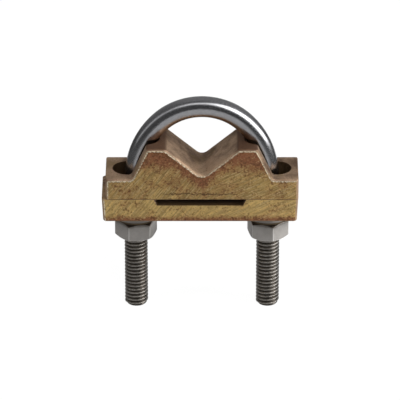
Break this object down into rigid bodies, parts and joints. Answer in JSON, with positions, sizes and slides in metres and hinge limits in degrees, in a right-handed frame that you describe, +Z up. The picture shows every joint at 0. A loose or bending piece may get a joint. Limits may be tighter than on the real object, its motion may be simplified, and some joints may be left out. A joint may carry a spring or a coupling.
{
  "type": "earth rod clamp",
  "caption": "U-bolt clamp that holds a round earth rod in a V-shaped bronze saddle and grips flat copper tape against a plate below.",
  "frame": {"origin": "on the axis of the seated rod, halfway through the clamp", "axes": "+Z up from the nuts to the crown of the U-bolt, Y along the rod, X across the two legs"},
  "size_m": [0.0797, 0.022, 0.0935],
  "materials": {
    "bronze": "cast top, ground front and back, patchy brown patina",
    "stainless": "bright drawn wire, rolled thread",
    "nut_steel": "satin"
  },
  "bodies": {
    "saddle": {"saddle": "bronze"},
    "u_bolt": {"u_bolt": "stainless"},
    "base_plate": {"base_plate": "bronze"},
    "left_washers": {"left_washer": "nut_steel", "left_spring_washer": "nut_steel"},
    "left_nut": {"left_nut": "nut_steel"},
    "right_washers": {"right_washer": "nut_steel", "right_spring_washer": "nut_steel"},
    "right_nut": {"right_nut": "nut_steel"}
  },
  "joints": [
    {"name": "u_bolt_lift", "type": "slide", "parent": "saddle", "child": "u_bolt", "axis": [0, 0, 1], "range_m": [0, 0.012]},
    {"name": "plate_drop", "type": "slide", "parent": "saddle", "child": "base_plate", "axis": [0, 0, -1], "range_m": [0, 0.006]},
    {"name": "left_nut_travel", "type": "slide", "parent": "base_plate", "child": "left_washers", "axis": [0, 0, -1], "range_m": [0, 0.012]},
    {"name": "left_nut_turn", "type": "hinge", "parent": "left_washers", "child": "left_nut", "pos_m": [-0.027, 0, -0.04], "axis": [0, 0, -1], "range_deg": [0, 2722]},
    {"name": "right_nut_travel", "type": "slide", "parent": "base_plate", "child": "right_washers", "axis": [0, 0, -1], "range_m": [0, 0.012]},
    {"name": "right_nut_turn", "type": "hinge", "parent": "right_washers", "child": "right_nut", "pos_m": [0.027, 0, -0.04], "axis": [0, 0, -1], "range_deg": [0, 2722]}
  ],
  "couplings": [
    {"joint": "left_nut_turn", "follows": "left_nut_travel", "rad_per_m": 3957.9},
    {"joint": "right_nut_turn", "follows": "right_nut_travel", "rad_per_m": 3957.9}
  ]
}
